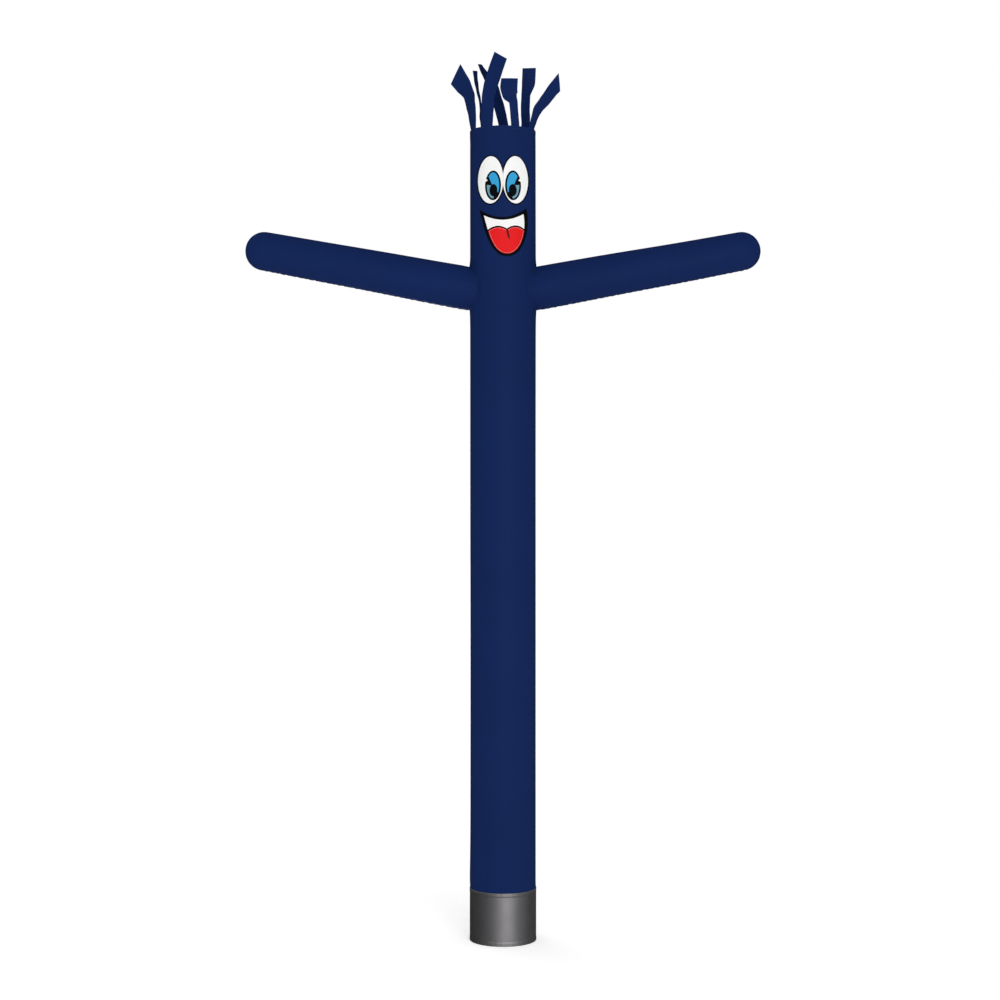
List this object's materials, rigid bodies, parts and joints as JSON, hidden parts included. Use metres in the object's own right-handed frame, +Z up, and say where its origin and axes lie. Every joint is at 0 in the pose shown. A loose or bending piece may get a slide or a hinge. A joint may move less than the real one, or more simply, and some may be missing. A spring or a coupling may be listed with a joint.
{
  "type": "inflatable air dancer",
  "caption": "Tall sleeve of thin nylon with two sleeve arms, ribbon hair and a laid-on face, that a blower keeps standing through a collar at its foot.",
  "frame": {"origin": "centre of the collar's lower edge, where the blower's round outlet goes in", "axes": "+Z up along the tube, -Y the way the face looks, +X to the right of someone who looks at the face"},
  "size_m": [3.6042, 0.4693, 6.1755],
  "materials": {
    "navy_nylon": "thin ripstop nylon, soft sheen",
    "coated_cloth": "heavy coated cloth, satin",
    "black_patch": "matt",
    "white_patch": "matt",
    "blue_patch": "matt",
    "grey_blue_patch": "matt",
    "red_patch": "matt",
    "dark_red_patch": "matt"
  },
  "bodies": {
    "root": {"collar": "coated_cloth", "body_tube": "navy_nylon", "arm_left": "navy_nylon", "arm_right": "navy_nylon", "streamer_1": "navy_nylon", "streamer_2": "navy_nylon", "streamer_3": "navy_nylon", "streamer_4": "navy_nylon", "streamer_5": "navy_nylon", "streamer_6": "navy_nylon", "streamer_7": "navy_nylon", "eye_backing": "black_patch", "eye_white_left": "white_patch", "iris_ring_left": "black_patch", "iris_left": "blue_patch", "iris_shade_left": "grey_blue_patch", "pupil_left": "black_patch", "eye_white_right": "white_patch", "iris_ring_right": "black_patch", "iris_right": "blue_patch", "iris_shade_right": "grey_blue_patch", "pupil_right": "black_patch", "mouth_backing": "black_patch", "teeth": "white_patch", "tongue": "red_patch", "tongue_crease": "dark_red_patch"}
  },
  "joints": []
}
